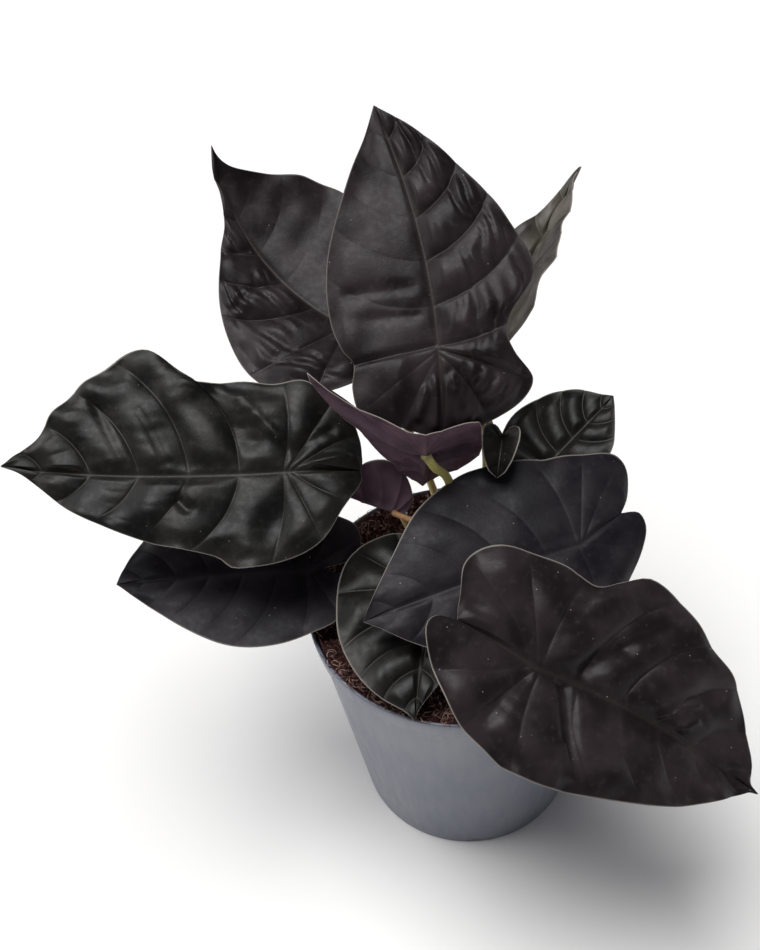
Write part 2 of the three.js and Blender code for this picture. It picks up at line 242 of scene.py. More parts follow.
satin = add_node(tree, "MapRange", None, {
    "Value": streak.outputs["Fac"], "From Min": 0.3, "From Max": 0.7, "To Min": 0.34, "To Max": 0.48})
tree.links.new(satin.outputs[0], shader.inputs["Roughness"])
skin = add_node(tree, "Bump", None, {"Height": grain.outputs["Fac"], "Strength": 0.12, "Distance": 0.15 * MM})
tree.links.new(skin.outputs[0], shader.inputs["Normal"])
shader.inputs["IOR"].default_value = 1.49
shader.inputs["Coat Weight"].default_value = 0.35
shader.inputs["Coat Roughness"].default_value = 0.3

pot = make_piece("pot_shell", *turned(pot_profile, POT_STEPS), polypropylene)
slot_outline = [(-SLOT_WIDTH / 2, -3), (SLOT_WIDTH / 2, -3)]
for angle in np.linspace(0.05, math.pi - 0.05, 15):
    half_width = SLOT_WIDTH / 2 * abs(math.cos(angle)) ** SLOT_SQUARENESS
    slot_outline.append((math.copysign(half_width, math.cos(angle)),
                         SLOT_HEIGHT * math.sin(angle) ** SLOT_SQUARENESS))
for number in range(DRAIN_SLOTS):
    angle = number * 2 * math.pi / DRAIN_SLOTS
    out = np.array([math.cos(angle), math.sin(angle), 0])
    side = np.array([-math.sin(angle), math.cos(angle), 0])
    corners = [radius * out + y * side + np.array([0, 0, z])
               for radius in SLOT_CUT_RADII for y, z in slot_outline]
    count = len(slot_outline)
    walls = [(i, (i + 1) % count, count + (i + 1) % count, count + i) for i in range(count)]
    caps = [tuple(range(count))[::-1], tuple(range(count, 2 * count))]
    cutter = make_piece("cutter", corners, caps + walls, polypropylene)
    cut = pot.modifiers.new("slot", "BOOLEAN")
    cut.operation = "DIFFERENCE"
    cut.solver = "EXACT"
    cut.object = cutter
    bpy.context.view_layer.update()
    cut_mesh = bpy.data.meshes.new_from_object(pot.evaluated_get(bpy.context.evaluated_depsgraph_get()))
    pot.modifiers.clear()
    pot.data = cut_mesh
    bpy.data.objects.remove(cutter)
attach(pot, "root")
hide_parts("pot")

# Soil
# Coco and peat fibre, pressed into the pot by hand and dry on top: a dark crumbly bed under a loose mat
# of reddish-brown fibres and crumbs, a few of which hang over the rim.
SOIL_EDGE_HEIGHT = 106.4
SOIL_MIDDLE_HEIGHT = 102
SOIL_RINGS = 60
SOIL_STEPS = 200
FIBRES = 3500
FIBRE_POINTS = 7
FIBRE_SIDES = 3
FIBRE_LENGTHS = (3, 10)
FIBRE_RADII = (0.06, 0.19)
CRUMBS = 1800
CRUMB_SIZES = (0.35, 1.2)
RIM_FIBRES = 240
RIM_FIBRE_SIDES = 4
RIM_FIBRE_LENGTHS = (2, 6)
FRONT_SHARE = 0.6
FRONT_DEGREES = (-155, -90)
OVERHANG_EVERY = 23
OVERHANG = 1.8
SOIL_DARK = "#120b0a"
SOIL_RED = "#4c2723"
FIBRE_PALE = "#c4a093"
CRUMB_MM = 2
PIT_MM = 0.9


def ripple(points, size, seed, waves=26):
    """Smooth random heights of about -1 to 1 at the points, with features of that size."""
    dice = np.random.default_rng(seed)
    points = np.asarray(points, dtype=float)
    heading = dice.normal(size=(waves, points.shape[-1]))
    heading /= np.linalg.norm(heading, axis=1, keepdims=True)
    pace = 2 * math.pi / (size * dice.uniform(0.8, 1.8, waves))
    start = dice.uniform(0, 2 * math.pi, waves)
    return np.sin(points @ (heading * pace[:, None]).T + start).sum(-1) / math.sqrt(waves)


def soil_height(x, y):
    """Height of the soil's rough surface, dished in the middle, with lumps of three sizes."""
    reach = np.hypot(x, y) / RIM_RADIUS
    ground = np.stack([x, y], -1)
    rough = 0.9 * ripple(ground, 14, 3) + 0.5 * ripple(ground, 4.5, 4) + 0.3 * ripple(ground, 1.8, 5)
    return SOIL_MIDDLE_HEIGHT + (SOIL_EDGE_HEIGHT - SOIL_MIDDLE_HEIGHT) * reach ** 3 + rough


def tube(route, radii, sides):
    """Points and faces of a closed tube along a route, with its own radius at each point."""
    route = np.asarray(route, dtype=float)
    heading = np.gradient(route, axis=0)
    heading /= np.linalg.norm(heading, axis=1, keepdims=True)
    spare = np.array([0, 0, 1.0]) if abs(heading[0][2]) < 0.9 else np.array([1.0, 0, 0])
    across = np.cross(spare, heading[0])
    points = []
    angles = np.arange(sides) * 2 * math.pi / sides
    for place, way, radius in zip(route, heading, radii):
        across = across - way * (across @ way)
        across = across / np.linalg.norm(across)
        over = np.cross(way, across)
        points.append(place + radius * (np.cos(angles)[:, None] * across + np.sin(angles)[:, None] * over))
    faces = [tuple(range(sides))[::-1]]
    for ring in range(len(route) - 1):
        for i in range(sides):
            j = (i + 1) % sides
            faces.append((ring * sides + i, ring * sides + j, (ring + 1) * sides + j, (ring + 1) * sides + i))
    faces.append(tuple(range((len(route) - 1) * sides, len(route) * sides)))
    return np.vstack(points), faces


# Dry fibre is dull: dark damp crumbs below, paler straw-coloured strands on top, no sheen.
peat, tree, shader = start_material("coco_and_peat_fibre")
tint = add_node(tree, "Attribute", {"attribute_name": "tint"}).outputs["Fac"]
spot = add_node(tree, "TexCoord").outputs["Object"]
crumb = add_node(tree, "TexNoise", None, {
    "Vector": spot, "Scale": 1 / (CRUMB_MM * MM), "Detail": 6, "Roughness": 0.7})
fine = add_node(tree, "TexVoronoi", None, {"Vector": spot, "Scale": 1 / (PIT_MM * MM)})
damp = add_node(tree, "MapRange", None, {"Value": crumb.outputs["Fac"], "From Min": 0.35, "From Max": 0.7})
ground = add_node(tree, "Mix", color_mix, {
    0: damp.outputs[0], 6: linear(SOIL_DARK), 7: linear(SOIL_RED)})
straw = add_node(tree, "Mix", color_mix, {0: tint, 6: ground.outputs[2], 7: linear(FIBRE_PALE)})
tree.links.new(straw.outputs[2], shader.inputs["Base Color"])
shader.inputs["Roughness"].default_value = 0.85
shader.inputs["Specular IOR Level"].default_value = 0.25
pits = add_node(tree, "Bump", None, {
    "Height": fine.outputs["Distance"], "Strength": 0.6, "Distance": 0.5 * MM})
tree.links.new(pits.outputs[0], shader.inputs["Normal"])

soil_points = [(0, 0, float(soil_height(np.array(0.0), np.array(0.0))))]
angles = np.arange(SOIL_STEPS) * 2 * math.pi / SOIL_STEPS
soil_radius = RIM_RADIUS - 2 * LIP_RADIUS - 0.4
for ring in range(1, SOIL_RINGS + 1):
    radius = soil_radius * ring / SOIL_RINGS
    x, y = radius * np.cos(angles), radius * np.sin(angles)
    soil_points.extend(zip(x, y, soil_height(x, y)))
for radius, height in ((wall_radius(collar_foot - 2) - POT_WALL - 0.3, collar_foot - 2),
                       (wall_radius(FLOOR_THICKNESS) - POT_WALL - 0.9, FLOOR_THICKNESS + 0.3)):
    soil_points.extend(zip(radius * np.cos(angles), radius * np.sin(angles), np.full(SOIL_STEPS, height)))
soil_faces = [tuple(1 + (SOIL_RINGS + 1) * SOIL_STEPS + i for i in range(SOIL_STEPS))[::-1]]
for i in range(SOIL_STEPS):
    j = (i + 1) % SOIL_STEPS
    soil_faces.append((0, 1 + i, 1 + j))
    for ring in range(SOIL_RINGS + 1):
        low = 1 + ring * SOIL_STEPS
        soil_faces.append((low + i, low + SOIL_STEPS + i, low + SOIL_STEPS + j, low + j))
soil_tint = [0.0] * len(soil_points)
soil_points = [np.array(soil_points)]


def add_to_soil(points, faces, tint):
    """Adds loose matter to the soil's mesh."""
    start = len(soil_tint)
    soil_points.append(points)
    soil_faces.extend(tuple(start + i for i in face) for face in faces)
    soil_tint.extend([tint] * len(points))


def curly_plan(radius, around, curl, length, limit):
    """Plan of a curly fibre from a radius and an angle about the pot's axis, kept inside a radius."""
    x = radius * math.cos(around) + np.cumsum(np.cos(curl)) * length / FIBRE_POINTS
    y = radius * math.sin(around) + np.cumsum(np.sin(curl)) * length / FIBRE_POINTS
    inside = np.minimum(1, limit / np.maximum(np.hypot(x, y), 1))
    return x * inside, y * inside


dice = np.random.default_rng(11)
fibre_span = np.linspace(-0.5, 0.5, FIBRE_POINTS)
fibre_arch = np.sin(np.linspace(0, math.pi, FIBRE_POINTS))
fibre_taper = np.array([0.5, 0.9, 1, 1, 1, 0.8, 0.3])
for _ in range(FIBRES):
    length, bend = dice.uniform(*FIBRE_LENGTHS), dice.normal() * 0.28
    heading, lift = dice.uniform(0, 2 * math.pi), dice.uniform(0.1, 1.2)
    thickness = dice.uniform(*FIBRE_RADII)
    radius, around = (soil_radius - 1.5) * math.sqrt(dice.uniform()), dice.uniform(0, 2 * math.pi)
    x, y = curly_plan(radius, around, heading + bend * fibre_span * length, length, soil_radius - 0.6)
    z = soil_height(x, y) + lift * fibre_arch - 0.2 + 0.2 * dice.normal(size=FIBRE_POINTS)
    fibre = tube(np.column_stack([x, y, z]), thickness * fibre_taper, FIBRE_SIDES)
    add_to_soil(*fibre, tint=dice.uniform(0.0, 1.0) ** 2.4)
crumb_sides = [(a, (a + 1) % 4, 4) for a in range(4)] + [((a + 1) % 4, a, 5) for a in range(4)]
for _ in range(CRUMBS):
    radius, around = (soil_radius - 1) * math.sqrt(dice.uniform()), dice.uniform(0, 2 * math.pi)
    x, y = np.array(radius * math.cos(around)), np.array(radius * math.sin(around))
    size = dice.uniform(*CRUMB_SIZES)
    corners = np.array([(1, 0, 0), (0, 1, 0), (-1, 0, 0), (0, -1, 0), (0, 0, 1), (0, 0, -1)]) * size
    corners = corners * dice.uniform(0.5, 1.3, (6, 1)) + (x, y, float(soil_height(x, y)) + 0.3)
    add_to_soil(corners, crumb_sides, tint=dice.uniform(0, 0.5))
for number in range(RIM_FIBRES):
    in_front = number < RIM_FIBRES * FRONT_SHARE
    around = math.radians(dice.uniform(*FRONT_DEGREES) if in_front else dice.uniform(0, 360))
    length, heading = dice.uniform(*RIM_FIBRE_LENGTHS), dice.uniform(0, 2 * math.pi)
    curl = heading + dice.normal() * 0.35 * fibre_span * length
    overhang = OVERHANG if number % OVERHANG_EVERY == 0 else 0
    radius = RIM_RADIUS - dice.uniform(0.8, 4)
    x, y = curly_plan(radius, around, curl, length, RIM_RADIUS - 0.1 + overhang * 0.6)
    fall = overhang * np.maximum(np.hypot(x, y) - RIM_RADIUS + 0.6, 0)
    z = POT_HEIGHT + 0.25 + 0.5 * fibre_arch - fall
    fibre = tube(np.column_stack([x, y, z]), np.linspace(0.15, 0.07, FIBRE_POINTS), RIM_FIBRE_SIDES)
    add_to_soil(*fibre, tint=dice.uniform(0.0, 1.0) ** 2)

soil = make_piece("coco_peat_soil", np.vstack(soil_points), soil_faces, peat, {"tint": soil_tint})
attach(soil, "root")
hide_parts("soil")

# Stem base
# The short woody stem from which all leaves rise, half sunk in the soil: brown and ringed by the scars of
# old leaves, with a few dry papery sheaths still around it.
STEM_CENTRE = np.array([5, 12, 96.0])
STEM_RADIUS = 12
STEM_STEPS = 64
STEM_COLOR = "#5d4a38"
STEM_SCAR_COLOR = "#2a1d16"
SCAR_SPACING_MM = 20
BARK_MM = 1.6
SHEATHS = 6
SHEATH_ROWS = 14
SHEATH_COLUMNS = 9
SHEATH_HEIGHT = 15
SHEATH_HALF_ANGLE = 0.5
SHEATH_THICKNESS_SHARE = 0.035

# Corky skin: matt, dry and rough to the touch, darker where a leaf scar runs round it.
bark, tree, shader = start_material("corm_skin")
spot = add_node(tree, "TexCoord").outputs["Object"]
rings = add_node(tree, "TexWave", {"bands_direction": "Z"}, {
    "Vector": spot, "Scale": 1 / (SCAR_SPACING_MM * MM), "Distortion": 4, "Detail": 4, "Detail Scale": 2})
skin_noise = add_node(tree, "TexNoise", None, {"Vector": spot, "Scale": 1 / (BARK_MM * MM), "Detail": 6})
scar = add_node(tree, "Mix", color_mix, {
    0: rings.outputs["Fac"], 6: linear(STEM_SCAR_COLOR), 7: linear(STEM_COLOR)})
tree.links.new(scar.outputs[2], shader.inputs["Base Color"])
rough_skin = add_node(tree, "Bump", None, {
    "Height": skin_noise.outputs["Fac"], "Strength": 0.7, "Distance": 0.6 * MM})
tree.links.new(rough_skin.outputs[0], shader.inputs["Normal"])
shader.inputs["Roughness"].default_value = 0.75

stem_profile = [(0, -STEM_RADIUS)] + [
    (STEM_RADIUS * math.cos(a) * (1 + 0.03 * math.cos(9 * a)), STEM_RADIUS * math.sin(a))
    for a in np.radians(np.linspace(-84, 84, 40))] + [(0, STEM_RADIUS)]
stem_points, stem_faces = turned(stem_profile, STEM_STEPS)
swell = 1 + 0.035 * ripple(stem_points, 7, 21) + 0.015 * ripple(stem_points, 2, 22)
stem_points = STEM_CENTRE + stem_points * swell[:, None]
for number in range(SHEATHS):
    around = number * 2 * math.pi / SHEATHS + 0.4
    height = SHEATH_HEIGHT + 5 * math.sin(5 * number)
    outer = []
    for up in np.linspace(0, 1, SHEATH_ROWS):
        for across in np.linspace(-1, 1, SHEATH_COLUMNS):
            angle = around + across * SHEATH_HALF_ANGLE * (1 - up ** 2.2)
            out = STEM_RADIUS * (0.97 - 0.45 * up + 0.35 * up ** 2)
            out = out + 0.4 * across ** 2 + 0.6 * math.sin(7 * up + number)
            outer.append((STEM_CENTRE[0] + out * math.cos(angle), STEM_CENTRE[1] + out * math.sin(angle),
                          STEM_CENTRE[2] + 4 + height * up))
    outer = np.array(outer)
    inner = outer - (outer - STEM_CENTRE) * (1, 1, 0) * SHEATH_THICKNESS_SHARE
    place = len(stem_points) + np.arange(SHEATH_ROWS * SHEATH_COLUMNS).reshape(SHEATH_ROWS, SHEATH_COLUMNS)
    stem_points = np.vstack([stem_points, outer, inner])
    for row in range(SHEATH_ROWS - 1):
        for column in range(SHEATH_COLUMNS - 1):
            a, b = place[row, column:column + 2]
            d, c = place[row + 1, column:column + 2]
            stem_faces.append((a, b, c, d))
            stem_faces.append(tuple(corner + len(outer) for corner in (a, d, c, b)))
    border = [*place[0], *place[1:, -1], *place[-1, -2::-1], *place[-2:0:-1, 0]]
    for a, b in zip(border, border[1:] + border[:1]):
        stem_faces.append((b, a, a + len(outer), b + len(outer)))
stem = make_piece("stem_with_sheaths", stem_points, stem_faces, bark)
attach(stem, "root")
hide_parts("stem_base")

# Leaves: how each one lies
# Every leaf is laid out flat in mm, x along the midrib from the stalk's joint to the tip, y across each half,
# and is then folded, curled, arched and turned to its place, as the plant holds it.
#   base, tip    where the stalk joins the blade, and the point of the blade
#   roll         degrees that the blade turns about the line from base to tip
#   arch         degrees that the midrib bends from base to tip, downwards at the tip if positive
#   sway, skew   how far the midrib bows to the left, and the degrees that the back lobes swing to the left
#   fold, curl   degrees that the [left, right] half rises at the midrib, and gains from there to its margin
#   drop         degrees that the [left, right] back lobe bends down
#   sinus        length of the blade that is whole behind the stalk's joint, up to the notch
#   left, right  margin of each half from the tip to the notch, both ends left out
#   leave, via   azimuth and elevation in which the stalk leaves the stem base, and a point that it passes
#   lean         degrees that the stalk's end leans towards the back lobes
#   veins        number of side veins ahead of the stalk's joint
#   quilt        how strongly the [left, right] half swells between its veins
#   rungs        how deep the creases are that cross those swellings, from vein to vein
#   veined       how strongly the side veins of the [left, right] half are pressed in and told apart by colour
#   waves        how far the whole blade undulates, in mm
#   tip_lift     mm that the tip stands off the blade's bend
#   creases      folds from one point to another (right half: y below 0), with their half width and height
#   rim_highlight_level  how strong the painted highlight along the margin is, 1 unless it says otherwise
#   skin, lead   a surface other than its kind's, and a point that the stalk passes just before the blade
# The stalk has its own radius, and the kind of leaf gives its surface. At the midrib both back lobes bend
# alike, and each has its own bend from MIDRIB_SEAM outwards.
LEAVES = {
    "top": dict(
        base=(-3, 38, 197), tip=(-18, 120, 250), roll=-4, arch=8, sway=-4, skew=0,
        fold=(0, 10), curl=(-10, -20), drop=(25, 40), sinus=30,
        left=[(87, 8), (69, 21), (43, 35), (22, 38), (9, 35), (2, 31), (-7, 32), (-17, 29), (-23, 18),
              (-28, 8), (-30, 2)],
        right=[(86, 10), (65, 22), (46, 31), (34, 36), (20, 38), (8, 28), (0, 25), (-7, 27), (-18, 34),
               (-26, 26), (-31, 15), (-31, 6), (-30.5, 2)],
        leave=(80, 60), via=(16, 40, 155), lean=10, stalk_radius=1.8,
        kind="brown", veins=5, quilt=(0.18, 1.1), rungs=(0.1, 3.0), veined=(0.1, 0.7), waves=0.9, tip_lift=1,
        rim_highlight_level=0.45,
        creases=[(2, 1, 2, 31, 1.0, -1.2), (-3, 14, -12, 16, 3.5, 1.4), (25, 7, 28, 30, 2.2, -0.8),
                 (14, 7, 18, 30, 2, -0.7), (-11, 2, -26, 3, 1.3, 1.6), (-13, 6, -22, 9, 1.2, 1.4),
                 (-9, -3, -22, -8, 2.5, -1.8), (-11, -4, -27, -11, 1.3, 1.4), (-14, 5, -25, 14, 2, 0.8)]),
    "back_left": dict(
        base=(-35, 77, 182), tip=(-84, 142, 228), roll=-8, arch=-45, sway=8, skew=0,
        fold=(12, 10), curl=(-25, -10), drop=(10, 20), sinus=9,
        left=[(88, 2), (78, 2), (66, 6), (57, 13), (39, 26), (20, 36), (4, 42), (-8, 42), (-20, 34),
              (-26, 18), (-22, 5)],
        right=[(85, 6), (76, 19), (66, 34), (52, 44), (32, 42), (12, 35), (-6, 27), (-17, 17), (-18, 5)],
        leave=(115, 45), via=(-16, 60, 145), lean=0, stalk_radius=1.8,
        kind="brown", veins=5, quilt=(1.0, 0.12), rungs=(2.8, 0.1), veined=(0.6, 0.04), waves=0.9, tip_lift=3,
        rim_highlight_level=0.45,
        creases=[(52, 3, 55, 12, 1.5, -0.9), (36, 10, 32, 24, 1.8, -1.0), (0, 24, 2, 32, 1.2, 0.8)]),
    "back_right": dict(
        base=(12, 60, 160), tip=(67, 143, 203), roll=0, arch=-10, sway=3, skew=0,
        fold=(10, 50), curl=(0, 0), drop=(10, 10), sinus=5,
        left=[(105, 2), (86, 6), (72, 12), (50, 24), (27, 30), (6, 28), (-7, 20), (-12, 10), (-11, 3)],
        right=[(101, 4), (84, 10), (65, 20), (50, 28), (36, 26), (24, 21), (8, 17), (-6, 14), (-12, 8),
               (-11, 3)],
        leave=(70, 38), via=(15, 48, 135), lean=0, stalk_radius=1.8,
        kind="dark", skin="olive", veins=5, quilt=(0.8, 0.8), rungs=(0.5, 0.8), veined=(0.6, 0.6), waves=0.8,
        tip_lift=2),
    "left": dict(
        base=(-61, 18, 163), tip=(-166, 30, 166), roll=-22, arch=6, sway=3, skew=0,
        fold=(0, 9), curl=(-15, -5), drop=(15, 22), sinus=27,
        left=[(96, 3), (75, 16), (48, 25), (25, 30), (16, 35), (-2, 33), (-14, 27), (-21, 15), (-27, 5)],
        right=[(96, 10), (83, 30), (66, 45), (56, 49), (43, 42), (35, 36), (22, 37), (8, 35), (-4, 35),
               (-14, 27), (-25, 17), (-27, 5)],
        leave=(158, 34), via=(-30, 36, 138), lean=0, stalk_radius=1.8,
        kind="dark", veins=5, quilt=(0.6, 0.9), rungs=(0.25, 0.45), veined=(0.4, 0.5), waves=1.6, tip_lift=2,
        creases=[(38, 10, 35, 13, 2, -1.8), (17, 27, 14, 31, 4, -1.2), (60, -4, 74, -28, 1.5, -0.8),
                 (44, -5, 56, -25, 1.3, -0.9), (3, -12, 19, -29, 1.3, 1.4), (19, -29, 36, -38, 1.3, 1.2),
                 (14, -13, 33, -30, 5, -2.4), (-10, -3, -21, -5, 1.6, 1.7), (-3, -8, -15, -16, 2.5, -1.2)]),
    "low_left": dict(
        base=(-58, 8, 121), tip=(-131, 8, 121), roll=-14, arch=14, sway=0, skew=0,
        fold=(4, 4), curl=(-10, -20), drop=(0, 0), sinus=6,
        left=[(65, 7), (49, 20), (33, 29), (16, 31), (0, 27), (-10, 22), (-14, 13), (-13, 4)],
        right=[(67, 13), (60, 22), (45, 31), (25, 35), (5, 32), (-10, 26), (-20, 17), (-19, 5)],
        leave=(186, 37), via=(-34, 9, 112), lean=0, stalk_radius=1.3,
        kind="blue", veins=5, quilt=(0.35, 0.35), rungs=(0.1, 0.1), veined=(0.12, 0.12), waves=0.7,
        tip_lift=1),
    "right": dict(
        base=(42, -10, 141), tip=(-38, -31, 134), roll=-22, arch=14, sway=0, skew=-20,
        fold=(0, 6), curl=(-20, -10), drop=(20, 20), sinus=21,
        left=[(71, 12), (60, 20), (42, 27), (22, 28), (2, 27), (-12, 24), (-22, 18), (-28, 11), (-28, 4)],
        right=[(67, 17), (50, 32), (33, 39), (16, 39), (0, 35), (-17, 27), (-28, 20), (-31, 12), (-27, 4)],
        leave=(-30, 40), via=(34, 3, 119), lean=0, stalk_radius=1.8,
        kind="blue", veins=5, quilt=(0.3, 0.3), rungs=(0.08, 0.08), veined=(0.14, 0.14), waves=0.8,
        tip_lift=0),
    "front_right": dict(
        base=(19, -58, 135), tip=(93, -81, 82), roll=14, arch=12, sway=3, skew=13,
        fold=(20, 4), curl=(-15, -15), drop=(10, 10), sinus=31,
        left=[(90, 2), (86, 8), (75, 24), (55, 35), (40, 43), (26, 45), (16, 39), (8, 34), (-5, 36),
              (-21, 32), (-32, 26), (-36, 17), (-33, 7)],
        right=[(90, 2), (84, 7), (64, 22), (39, 32), (15, 37), (-6, 35), (-21, 30), (-32, 20), (-40, 10),
               (-38, 3)],
        leave=(-75, 40), via=(8, -38, 113), lean=0, stalk_radius=1.8,
        kind="brown", veins=5, quilt=(0.8, 0.5), rungs=(0.35, 0.25), veined=(0.22, 0.22), waves=1.4,
        tip_lift=2,
        creases=[(11, -3, 24, -34, 2.6, -2.3), (17, -22, 23, -31, 1.2, 1.8), (16, 5, 25, 18, 3.5, -2.1),
                 (25, 18, 40, 35, 2.5, -1.4), (-4, -5, -10, -24, 3, -1.7), (47, 3, 52, 7, 1.2, 1.2),
                 (56, 3, 60, 8, 1.2, 1.2), (51, 9, 58, 13, 1.2, 1.0)]),
    "small_right": dict(
        base=(36, 33, 139), tip=(66, 55, 153), roll=8, arch=8, sway=0, skew=0,
        fold=(5, 5), curl=(-10, -10), drop=(0, 0), sinus=4,
        left=[(37, 5), (33, 13), (24, 21), (12, 25), (3, 24), (-3, 20), (-8, 12), (-8, 3)],
        right=[(36, 4), (28, 11), (22, 15), (13, 17), (4, 18), (-4, 15), (-9, 9), (-8, 3)],
        leave=(25, 38), via=(31, 30, 122), lean=0, stalk_radius=1.3,
        kind="dark", veins=4, quilt=(1.1, 1.1), rungs=(0.2, 0.2), veined=(0.45, 0.45), waves=0.6, tip_lift=1),
    "front": dict(
        base=(-14, -12, 125), tip=(-23, -60, 113), roll=0, arch=14, sway=0, skew=0,
        fold=(5, 5), curl=(-10, -10), drop=(-10, -10), sinus=6,
        left=[(46, 1), (37, 7), (26, 16), (12, 22), (-2, 22), (-14, 16), (-16, 6)],
        right=[(47, 4), (40, 17), (28, 27), (14, 32), (-4, 33), (-14, 30), (-21, 21), (-24, 12), (-18, 3)],
        leave=(232, 38), via=(-9, -4, 112), lean=0, stalk_radius=1.3,
        kind="dark", veins=4, quilt=(1.2, 1.2), rungs=(0.25, 0.25), veined=(0.6, 0.6), waves=0.8, tip_lift=0),
    "small_left": dict(
        base=(-23, 19, 136), tip=(-46, 26, 143), roll=128, arch=8, sway=0, skew=0,
        fold=(0, 95), curl=(20, 0), drop=(0, 0), sinus=3,
        left=[(22, 7), (16, 15), (8, 18), (0, 14), (-5, 6)],
        right=[(20, 6), (12, 12), (4, 12), (-4, 6)],
        leave=(165, 62), via=(-12, 16, 127), lean=70, stalk_radius=1.3,
        kind="brown", veins=3, quilt=(0.6, 0.6), rungs=(0.4, 0.4), veined=(0.4, 0.4), waves=0.6, tip_lift=0),
    "hanging": dict(
        base=(-11, 11, 173), tip=(-12, 24, 145), roll=0, arch=-20, sway=0, skew=0,
        fold=(28, 14), curl=(14, 0), drop=(5, 5), sinus=12,
        left=[(28, 8), (21, 12), (13.5, 16), (6.5, 21), (0, 26), (-5, 34), (-11, 43), (-16, 47), (-18, 46),
              (-16, 37), (-14, 30), (-12.5, 20), (-12, 10)],
        right=[(28, 15), (24, 21), (14, 23), (4, 22), (-6, 21), (-10, 18), (-10.5, 9)],
        leave=(200, 82), via=(-3, 15, 155), lead=(-8, 10.5, 166), lean=-65, stalk_radius=1.9,
        kind="brown", veins=3, quilt=(0.9, 0.9), rungs=(0.5, 0.5), veined=(0.3, 0.3), waves=1.5, tip_lift=0,
        creases=[(2, 4, -8, 36, 1.5, -1.2), (10, 5, 4, 20, 1.5, 1.2), (4, -6, 2, -19, 1.5, -0.9),
                 (16, 3, 20, 10, 1.3, 1.0), (14, -4, 20, -16, 1.5, 1.0)]),
    "cupped": dict(
        base=(18, 24, 163), tip=(14.5, 11.5, 157), roll=0, arch=12, sway=0, skew=0,
        fold=(45, 45), curl=(0, 0), drop=(10, 10), sinus=3,
        left=[(12, 5), (5, 9), (-2, 9), (-5, 4)],
        right=[(12, 5), (5, 9), (-2, 9), (-5, 4)],
        leave=(35, 66), via=(22, 27, 138), lean=0, stalk_radius=1.3,
        kind="dark", veins=2, quilt=(0.3, 0.3), rungs=(0.1, 0.1), veined=(0.5, 0.5), waves=0.4, tip_lift=0),
}
UP = np.array([0, 0, 1.0])
MIDRIB_SEAM = 8


def unit(vector):
    """The vector's direction."""
    return vector / np.linalg.norm(vector)


def smooth_step(value, low, high):
    """0 up to the low value, 1 from the high one, and a smooth rise between them."""
    part = np.clip((value - low) / (high - low), 0, 1)
    return part * part * (3 - 2 * part)


def leaf_axes(leaf):
    """Directions along the leaf, across it to the left and up from it, and the distance from base to tip."""
    chord = np.subtract(leaf["tip"], leaf["base"]).astype(float)
    along = unit(chord)
    level = unit(np.cross(UP, along))
    raised = np.cross(along, level)
    roll = math.radians(leaf["roll"])
    across = level * math.cos(roll) + raised * math.sin(roll)
    return along, across, np.cross(along, across), np.linalg.norm(chord)


def arc(start, rate, distance):
    """A run along an arc from a starting angle and at a rate: how far ahead and up, and the last angle."""
    rate = np.where(np.abs(rate) < 1e-6, 1e-6, rate)
    angle = start + rate * distance
    return (np.sin(angle) - np.sin(start)) / rate, (np.cos(start) - np.cos(angle)) / rate, angle


def leaf_length(leaf):
    """Length of the midrib from the stalk's joint to the tip."""
    arch = math.radians(leaf["arch"])
    return leaf_axes(leaf)[3] * arch / (2 * math.sin(arch / 2))


def place_on_leaf(leaf, x, y, half):
    """Points and upward normals in the plant of flat points x, y on a half, 0 left and 1 right."""
    along, across, up, chord = leaf_axes(leaf)
    arch, length = math.radians(leaf["arch"]), leaf_length(leaf)
    margins = [leaf["left"], leaf["right"]]
    bends = [math.radians(leaf["drop"][i]) / -min(p[0] for p in margins[i]) for i in (0, 1)]
    middle = (bends[0] + bends[1]) / 2
    back_rate = middle + (bends[half] - middle) * smooth_step(y, 0, MIDRIB_SEAM)
    front = x > 0
    way = np.where(front, 1.0, -1.0)
    ahead, rise, angle = arc(arch / 2, np.where(front, -arch / length, back_rate), np.abs(x))
    part = x / length
    bow = 4 * leaf["sway"] * part * np.where(front, 1 - part, 1)
    swing = np.where(front, 0, -x * math.tan(math.radians(leaf["skew"])))
    point = leaf["base"] + (way * ahead)[..., None] * along + (way * rise)[..., None] * up
    point = point + (bow + swing)[..., None] * across
    normal = np.cos(angle)[..., None] * up - np.sin(angle)[..., None] * along
    side = 1 if half == 0 else -1
    width = max(p[1] for p in margins[half])
    ahead, rise, angle = arc(math.radians(leaf["fold"][half]), math.radians(leaf["curl"][half]) / width, y)
    point = point + (side * ahead)[..., None] * across + rise[..., None] * normal
    angle = angle * smooth_step(y, 0, 2)
    normal = np.cos(angle)[..., None] * normal - (side * np.sin(angle))[..., None] * across
    return point, normal


# Leaf stalks
# Fleshy stalks, one under each blade: tan-green to reddish brown with fine lengthwise lines, wider and
# sheathing at the stem, and merging into the blade's underside at the top.
STALK_STEPS = 72
STALK_SIDES = 18
STALK_LEAD = 9
STALK_GREEN = "#bab269"
STALK_TAN = "#b5875a"
STALK_PURPLE = "#5b4648"
USUAL_TONE = 0.25
STALK_TONES = {"top": 0.95, "cupped": 0.4, "small_left": 1.0, "hanging": 0.05}
STALK_GAP = 0.3
TOUCH_DEPTH = 1.2
LINES_HALF_ROUND = 14.4
LINES_FULL_LENGTH = 22.4


